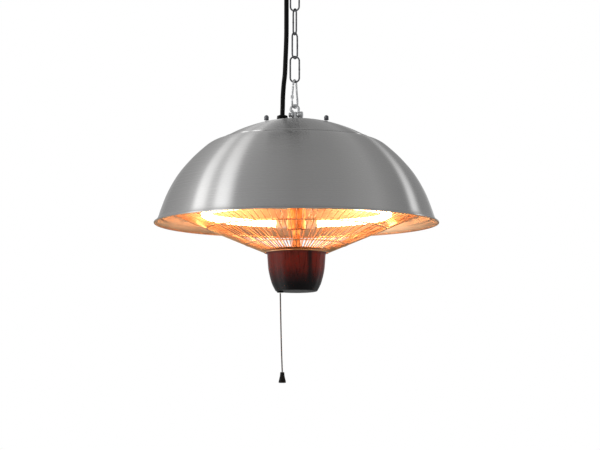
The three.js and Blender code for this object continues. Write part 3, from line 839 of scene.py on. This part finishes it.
cup = {
    "profile": [(45.4, -43.2), (45.4, -44.6), (45.0, -45.6), (43.9, -46.2), (43.5, -47.2)],
    "side": [(43.5, -47.2), (42.8, -57), (41.8, -69), (39.8, -79.3), (36.3, -91.3), (32.2, -99.6)],
    "wall": 1.8, "foot": -102.2,
}


def makeCup():
    foot = cup["foot"]
    outline = [*cup["profile"][:-1], *flowing2d(cup["side"], 5)]
    outline += [(31.5, -101), (30.4, foot + 0.3), (29.2, foot), (20, foot), (0, foot)]
    turn(outline, 128)
    applyModifier("SOLIDIFY", thickness=cup["wall"] * mm, offset=-1.0)
    shell = bpy.context.object
    cutWith(shell, rod(3.4, 12, (pullLine["x"], 0, foot), sides=32))
    return finishPiece("switchCup", enamel, 40)


def makeLid():
    outline = [
        (6.4, -39.6), (47.9, -39.6), (48.5, -40.1), (48.5, -40.6), (47.9, -41), (6.4, -41), (6.4, -39.6),
    ]
    turn(outline, 96)
    # the lid takes the guard wire's finish with its painted lamp glow
    return finishPiece("cupLid", guardWirePaintedGlow)


def makeBush():
    outline = [
        (1.5, -104), (4.4, -104), (5, -103.6), (5, -102.9), (4.6, -102.5), (3.1, -102.5), (3.1, -98.6),
        (1.9, -98.6),
        (1.5, -99), (1.5, -104),
    ]
    turn(outline, 40, (pullLine["x"], 0, 0))
    return finishPiece("cordBush", plastic)


for piece, nodeName, slotName in (
    (makeCup(), "switch_cup", "cup_enamel"),
    (makeLid(), "cup_lid", "bright_zinc"),
    (makeBush(), "cord_bush", "black_plastic"),
):
    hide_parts(nodeName)
    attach(piece, "heater")
print("cup made")


# Chain, carabiner, shackle and ceiling hook

lineX = -2.5
chain = {
    "wire": 1.25, "length": 41.3, "width": 16.0, "lowest": 210.4, "pitch": 36.0,
    "turns": (222, 166, 110, 56, 0),
}


def makeLink(number, turned, middleZ):
    bend = chain["width"] / 2 - chain["wire"]
    straight = chain["length"] / 2 - chain["wire"] - bend
    startClean()
    bpy.ops.mesh.primitive_torus_add(
        major_radius=bend * mm, minor_radius=chain["wire"] * mm, major_segments=48, minor_segments=14,
        rotation=(math.radians(90), 0, 0),
    )
    bpy.ops.object.transform_apply(location=True, rotation=True, scale=True)
    link = bpy.context.object
    for half in (1, -1):
        bpy.ops.object.mode_set(mode="EDIT")
        bpy.ops.mesh.select_mode(type="VERT")
        bpy.ops.mesh.select_all(action="DESELECT")
        bpy.ops.object.mode_set(mode="OBJECT")
        for vertex in link.data.vertices:
            vertex.select = vertex.co.z * half > 0.01 * mm
        bpy.ops.object.mode_set(mode="EDIT")
        bpy.ops.transform.translate(value=(0, 0, half * straight * mm))
    # the weld: a short swelling half way up one side
    for height in (-1.3, -0.5, 0.5, 1.3):
        bpy.ops.mesh.select_all(action="SELECT")
        bpy.ops.mesh.bisect(plane_co=(0, 0, height * mm), plane_no=(0, 0, 1))
    bpy.ops.mesh.select_all(action="DESELECT")
    bpy.ops.object.mode_set(mode="OBJECT")
    for vertex in link.data.vertices:
        vertex.select = vertex.co.x > 0 and abs(vertex.co.z) < 0.6 * mm
    bpy.ops.object.mode_set(mode="EDIT")
    bpy.ops.transform.resize(value=(1.12, 1.12, 1), center_override=(bend * mm, 0, 0))
    bpy.ops.object.mode_set(mode="OBJECT")
    link.rotation_euler = (0, 0, math.radians(turned))
    link.location = place(lineX, 0, middleZ)
    return finishPiece("chainLink" + str(number), darkZinc, 50)


chainTurns = chain["turns"]
for i, turned in enumerate(chainTurns):
    fromLowest = len(chainTurns) - 1 - i
    link = makeLink(i + 1, turned, chain["lowest"] + chain["length"] / 2 + fromLowest * chain["pitch"])
    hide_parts("chain_link_" + str(i + 1))
    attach(link, "chain")
print("chain made")


clip = {
    "turn": 60.0, "wire": 1.5, "topZ": 210.9, "topR": 4.0, "footZ": 181.0, "footR": 8.0,
    "pivotX": -7.6, "pivotZ": 187.6,
}


def makeCarabiner():
    line = [(-4.75, 206.6), *arc(0, clip["topZ"], clip["topR"], 172, 8, 6), (5.9, 197)]
    line += arc(0, clip["footZ"], clip["footR"], 8, -188, 12)
    body = bentWire(line, clip["wire"], turned=clip["turn"], centreX=lineX, sides=4)
    joinInto(body, clipPlate((clip["pivotX"] - 0.2, 0, clip["pivotZ"] - 2), (2.6, 1.2, 7)))
    return finishPiece("carabinerBody", brightZinc, 50)


def clipPlate(middle, size):
    # a small flat piece in the carabiner's own plane
    startClean()
    bpy.ops.mesh.primitive_cube_add(size=1, location=[m * mm for m in middle], scale=[x * mm for x in size])
    bpy.ops.object.transform_apply(location=True, rotation=True, scale=True)
    applyModifier("BEVEL", width=0.3 * mm, segments=2)
    plate = bpy.context.object
    plate.rotation_euler = (0, 0, math.radians(clip["turn"]))
    plate.location = (lineX * mm, 0, rimZ)
    bpy.ops.object.transform_apply(location=True, rotation=True, scale=True)
    return plate


def makeGate():
    pivotX, pivotZ = clip["pivotX"], clip["pivotZ"]
    lean = math.atan2(-4.75 - pivotX, 206.6 - pivotZ)
    line = []
    for reach in (1.9, 4, 8, 12, 17.4):
        line.append((pivotX + reach * math.sin(lean), pivotZ + reach * math.cos(lean)))
    arm = bentWire(line, 1.3, turned=clip["turn"], centreX=lineX, sides=4)
    nose = bentWire(line[-2:], 1.6, turned=clip["turn"], centreX=lineX, sides=4)
    cheeks = [clipPlate((pivotX, side * 1.5, pivotZ + 1), (3, 1.0, 5)) for side in (-1, 1)]
    joinInto(arm, nose, *cheeks)
    return finishPiece("carabinerGate", brightZinc, 50)


shackle = {"turn": -12.0, "wire": 1.9, "bowR": 6.0, "bowZ": 170.7, "pinZ": 162.3, "shift": 1.4, "eyeX": 4.5}


def shacklePlace(along):
    angle = math.radians(shackle["turn"])
    return (lineX + along * math.cos(angle), along * math.sin(angle), shackle["pinZ"])


def makeShackle():
    shift, eyeX, pinZ = shackle["shift"], shackle["eyeX"], shackle["pinZ"]
    line = [(shift - eyeX, pinZ + 3.2), (shift - eyeX, pinZ + 4.6)]
    line += arc(0, shackle["bowZ"], shackle["bowR"], 192, -18, 12)
    line += [(shift + eyeX, pinZ + 4.6), (shift + eyeX, pinZ + 3.2)]
    bow = bentWire(line, shackle["wire"], turned=shackle["turn"], centreX=lineX, sides=4)
    lean = (0, 90, shackle["turn"])
    eye = [(2.75, -1.6), (4.1, -1.6), (4.5, -1.2), (4.5, 1.2), (4.1, 1.6), (2.75, 1.6), (2.75, -1.6)]
    joinInto(bow, *[turn(eye, 32, shacklePlace(shift + side * eyeX), lean) for side in (-1, 1)])
    return finishPiece("shackleBow", brightZinc, 50)


def makeShackleBolt():
    shift = shackle["shift"]
    lean = (0, 90, shackle["turn"])
    bolt = rod(2.4, 16.8, shacklePlace(shift - 1.2), lean, 24, 0.3)
    head = rod(5.4, 3.7, shacklePlace(shift + 8.75), lean, 6, 0.5)
    joinInto(bolt, head)
    return finishPiece("shackleBolt", brightZinc)


def makeShackleNut():
    lean = (0, 90, shackle["turn"])
    nut = rod(4.0, 3.3, shacklePlace(shackle["shift"] - 8.55), lean, 6, 0.4)
    cutWith(nut, rod(2.7, 12, shacklePlace(shackle["shift"] - 8.55), lean, 24))
    return finishPiece("shackleNut", brightZinc)


hook = {"wire": 2.5, "bend": 9.0, "foot": 389.8}


def makeHook():
    bendZ = hook["foot"] + hook["bend"]
    line = [(0, 465.7), (0, 445), (0, 430), (4.5, bendZ + 15), *arc(0, bendZ, hook["bend"], 0, -180, 10)]
    line += [(-hook["bend"] - 0.6, bendZ + 6)]
    bentWire(line, hook["wire"], turned=90, centreX=lineX, sides=5)
    return finishPiece("ceilingHook", brightZinc, 50)


def makeCeilingPlate():
    outline = [(0, 470), (30, 470), (30, 467.6)]
    outline += [(28.4 + x, 467.6 + z) for x, z in arc(0, 0, 1.6, 0, -90, 5)]
    outline += [(26, 466), (0, 466)]
    turn(outline, 96, (lineX, 0, 0))
    plate = bpy.context.object
    cutWith(plate, *[rod(2.75, 20, (lineX + x, 0, 468), sides=32) for x in (-20, 20)])
    return finishPiece("ceilingPlate", brightZinc)


for piece, nodeName, slotName, body in (
    (makeCarabiner(), "carabiner_body", "bright_zinc", "chain"),
    (makeGate(), "carabiner_gate", "bright_zinc", "gate"),
    (makeShackle(), "shackle_bow", "dark_zinc", "chain"),
    (makeShackleBolt(), "shackle_bolt", "bright_zinc", "chain"),
    (makeShackleNut(), "shackle_nut", "bright_zinc", "chain"),
    (makeHook(), "ceiling_hook", "bright_zinc", "ceiling_fitting"),
    (makeCeilingPlate(), "ceiling_plate", "bright_zinc", "ceiling_fitting"),
):
    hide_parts(nodeName)
    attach(piece, body)
print("suspension made")


# Acorn nuts and cable gland on the cap

nut = {"hex": 3.6, "height": 2.6, "ball": 3.5, "crown": 7.7}


def makeAcornNut(number, angle):
    x = stud["ring"] * math.cos(math.radians(angle))
    y = stud["ring"] * math.sin(math.radians(angle))
    base = capHeight(stud["ring"]) + 1.1
    hexagon = rod(nut["hex"], nut["height"], (x, y, base + nut["height"] / 2), (0, 0, 20), 6, 0.35)
    ball = nut["ball"]
    crown = arc(0, nut["crown"] - ball, ball, -45, 90, 12)
    dome = turn(
        [(0, nut["height"] - 0.4), (2.6, nut["height"] - 0.4), *crown[:-1], (0, nut["crown"])], 32,
        (x, y, base),
    )
    joinInto(hexagon, dome)
    return finishPiece("acornNut" + str(number), darkZinc)


for i, angle in enumerate(stud["angles"]):
    acorn = makeAcornNut(i + 1, angle)
    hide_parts("cap_nut_" + str(i + 1))
    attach(acorn, "heater")

gland = {"x": -21.0, "z": 156.2, "hex": 8.5, "bore": 3.9}


def makeGlandBody():
    body = rod(gland["hex"], 2.4, (gland["x"], 0, gland["z"] + 1.2), (0, 0, 30), 6, 0.4)
    thread = rod(5.8, 9.4, (gland["x"], 0, gland["z"] - 4.3), sides=32)
    joinInto(body, thread)
    cutWith(body, rod(gland["bore"], 40, (gland["x"], 0, gland["z"]), sides=32))
    return finishPiece("glandBody", plastic)


def makeGlandNut():
    bore = gland["bore"]
    outline = [(bore, 2.7), (7.6, 2.7), (8, 3.0), (8, 3.9)]
    outline += [(7.0 + x, 3.9 + z) for x, z in arc(0, 0, 1.0, 0, 60, 3)]
    outline += [(6.0, 5.3), (5.0, 5.8), (bore + 0.3, 5.8), (bore, 5.5), (bore, 2.7)]
    turn(outline, 48, (gland["x"], 0, gland["z"]))
    nutPiece = bpy.context.object
    grips = []
    for step in range(12):  # finger grooves
        angle = math.radians(step * 30)
        at = (gland["x"] + 8.4 * math.cos(angle), 8.4 * math.sin(angle), gland["z"] + 4)
        grips.append(rod(0.9, 6, at, sides=12))
    cutWith(nutPiece, *grips)
    return finishPiece("glandNut", plastic)


for piece, nodeName in ((makeGlandBody(), "cable_gland_body"), (makeGlandNut(), "cable_gland_nut")):
    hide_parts(nodeName)
    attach(piece, "heater")
print("nuts and gland made")


# Return spring of the pull switch, squeezed between the slider's collar and its guide

spring = {"coil": 2.3, "wire": 0.36, "turns": 9, "travel": 10.0}


def makeSpring():
    low, high = (corner[2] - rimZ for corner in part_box("pull_spring"))
    foot, rise = low / mm + spring["wire"], (high - low) / mm - 2 * spring["wire"]
    steps = spring["turns"] * 12
    points = []
    for step in range(steps + 1):
        angle = math.radians(30 * step)
        x, y = spring["coil"] * math.cos(angle), spring["coil"] * math.sin(angle)
        points.append((pullLine["x"] + x, y, foot + rise * step / steps))
    bentWire(points, spring["wire"], sides=2)
    return finishPiece("pullSpring", pinNickel)


springPiece = makeSpring()
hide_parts("pull_spring")
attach(springPiece, "heater")
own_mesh(springPiece)
print("spring made")


# Finishes for the CAD nodes that stay as they are

keptNodes = {
    "carabiner_rivet": brightZinc, "eye_bolt": brightZinc, "eye_bolt_nut": brightZinc,
    "column_tube": strawSteel,
    "stem_tube": strawSteel, "stem_nut": brightZinc, "switch_lead": rubber, "guard_clip_1": brightZinc,
    "guard_clip_2": brightZinc, "guard_clip_3": brightZinc, "lamp_end_cap_1": ceramic,
    "lamp_end_cap_2": ceramic,
    "lamp_end_cap_3": ceramic, "lamp_end_cap_4": ceramic, "lamp_bracket_front": brightZinc,
    "lamp_bracket_back": brightZinc, "terminal_block": ceramic, "thermal_cutout": plastic,
    "switch_body": plastic,
    "ratchet_drum": ceramic, "switch_slider": pinNickel,
}
for nodeName, material in keptNodes.items():
    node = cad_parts[nodeName]
    node.data.materials.clear()
    node.data.materials.append(material)
print("kept nodes finished")


# Floor and sky

studio = {
    "floorZ": -2.4, "floor": "#e9e8e6", "floorGlow": 0.5, "reflectance": 0.53,
    # the grey that steel mirrors where it faces each bearing from the front, in degrees, fitted:
    # the room first, then its tall light panels
    "room": (
        (-90, 0.30), (-72, 0.22), (-62, 0.27), (-54, 0.33), (-44, 0.36), (-30, 0.34), (-22, 0.29),
        (-12, 0.245),
        (0, 0.205), (20, 0.23), (36, 0.28), (43, 0.23), (53, 0.20), (60, 0.29), (64, 0.20), (76, 0.20),
        (90, 0.32),
    ),
    "panels": (
        (-55, 0.0), (-49, 0.14), (-46.5, 0.84), (-42, 0.68), (-40, 0.24), (-37, 0.24), (-35, 0.78),
        (-30.5, 0.76),
        (-26.5, 0.0), (54.5, 0.0), (57, 0.6), (60, 0.4), (62.5, 0.0),
    ),
}


def makeFloor():
    startClean()
    bpy.ops.mesh.primitive_plane_add(size=80, location=(0, 0, studio["floorZ"]))
    floor = bpy.context.object
    floor.name = "studioFloor"
    material, _tree, shader, _where = newMaterial("paleStudioFloor", Roughness=0.7)
    shader.inputs["Base Color"].default_value = linear(studio["floor"])
    shader.inputs["Emission Color"].default_value = linear(studio["floor"])
    shader.inputs["Emission Strength"].default_value = studio["floorGlow"]
    floor.data.materials.append(material)
    floor.visible_glossy = False


def bearingRamp(tree, stops, bearing):
    # a grey scale over the half circle in front, in degrees
    ramp = addNode(tree, "ShaderNodeValToRGB", links={0: bearing})
    for degrees, level in stops:
        grey = level / studio["reflectance"]
        ramp.color_ramp.elements.new(0.5 + degrees / 180).color = (grey, grey, grey, 1)
    ramp.color_ramp.elements.remove(ramp.color_ramp.elements[0])
    ramp.color_ramp.elements.remove(ramp.color_ramp.elements[-1])
    return ramp.outputs[0]


def makeSky():
    # white behind the heater; its metal mirrors the two ramps, laid out by the way the metal faces
    # as seen from the main camera, and fading towards the top
    world = bpy.data.worlds.new("studio")
    bpy.context.scene.world = world
    world.use_nodes = True
    tree = world.node_tree
    lift = math.radians(cameraSet["lift"])
    front = (0, -math.cos(lift), math.sin(lift))
    seen = addNode(tree, "ShaderNodeLightPath")
    where = addNode(tree, "ShaderNodeTexCoord")
    half = addNode(tree, "ShaderNodeVectorMath", {1: front}, {0: where.outputs["Generated"]}, operation="ADD")
    facing = addNode(tree, "ShaderNodeVectorMath", links={0: half.outputs[0]}, operation="NORMALIZE")
    reach = addNode(tree, "ShaderNodeVectorMath", links={0: half.outputs[0]}, operation="LENGTH")
    xyz = addNode(tree, "ShaderNodeSeparateXYZ", links={0: facing.outputs[0]})
    forward = addNode(tree, "ShaderNodeMath", {1: -1}, {0: xyz.outputs[1]}, operation="MULTIPLY")
    turned = addNode(
        tree, "ShaderNodeMath", links={0: xyz.outputs[0], 1: forward.outputs[0]}, operation="ARCTAN2",
    )
    bearing = addNode(tree, "ShaderNodeMapRange", {1: -math.pi / 2, 2: math.pi / 2}, {0: turned.outputs[0]})
    room = bearingRamp(tree, studio["room"], bearing.outputs[0])
    panels = bearingRamp(tree, studio["panels"], bearing.outputs[0])
    high = addNode(tree, "ShaderNodeMapRange", {1: 0.2, 2: 0.82, 3: 1.0, 4: 0.2}, {0: xyz.outputs[2]})
    near = addNode(tree, "ShaderNodeMapRange", {1: 0.55, 2: 0.8}, {0: reach.outputs["Value"]})
    share = addNode(
        tree, "ShaderNodeMath", links={0: high.outputs[0], 1: near.outputs[0]}, operation="MULTIPLY",
    )
    lit = addNode(
        tree, "ShaderNodeVectorMath", links={0: panels, "Scale": share.outputs[0]}, operation="SCALE",
    )
    total = addNode(tree, "ShaderNodeVectorMath", links={0: room, 1: lit.outputs[0]}, operation="ADD")
    below = addNode(tree, "ShaderNodeMapRange", {1: -0.9, 2: -0.3, 3: 0.42, 4: 1.0}, {0: xyz.outputs[2]})
    mirrored = addNode(
        tree, "ShaderNodeBackground", links={"Color": total.outputs[0], "Strength": below.outputs[0]},
    )
    white = addNode(tree, "ShaderNodeBackground", {"Color": (1, 1, 1, 1), "Strength": 1.0})
    mixed = addNode(
        tree, "ShaderNodeMixShader",
        links={0: seen.outputs["Is Camera Ray"], 1: mirrored.outputs[0], 2: white.outputs[0]},
    )
    tree.links.new(mixed.outputs[0], tree.nodes["World Output"].inputs["Surface"])


def makeStudio():
    makeFloor()
    makeSky()
    bpy.context.scene.view_settings.view_transform = "Standard"


makeStudio()
print("studio made")
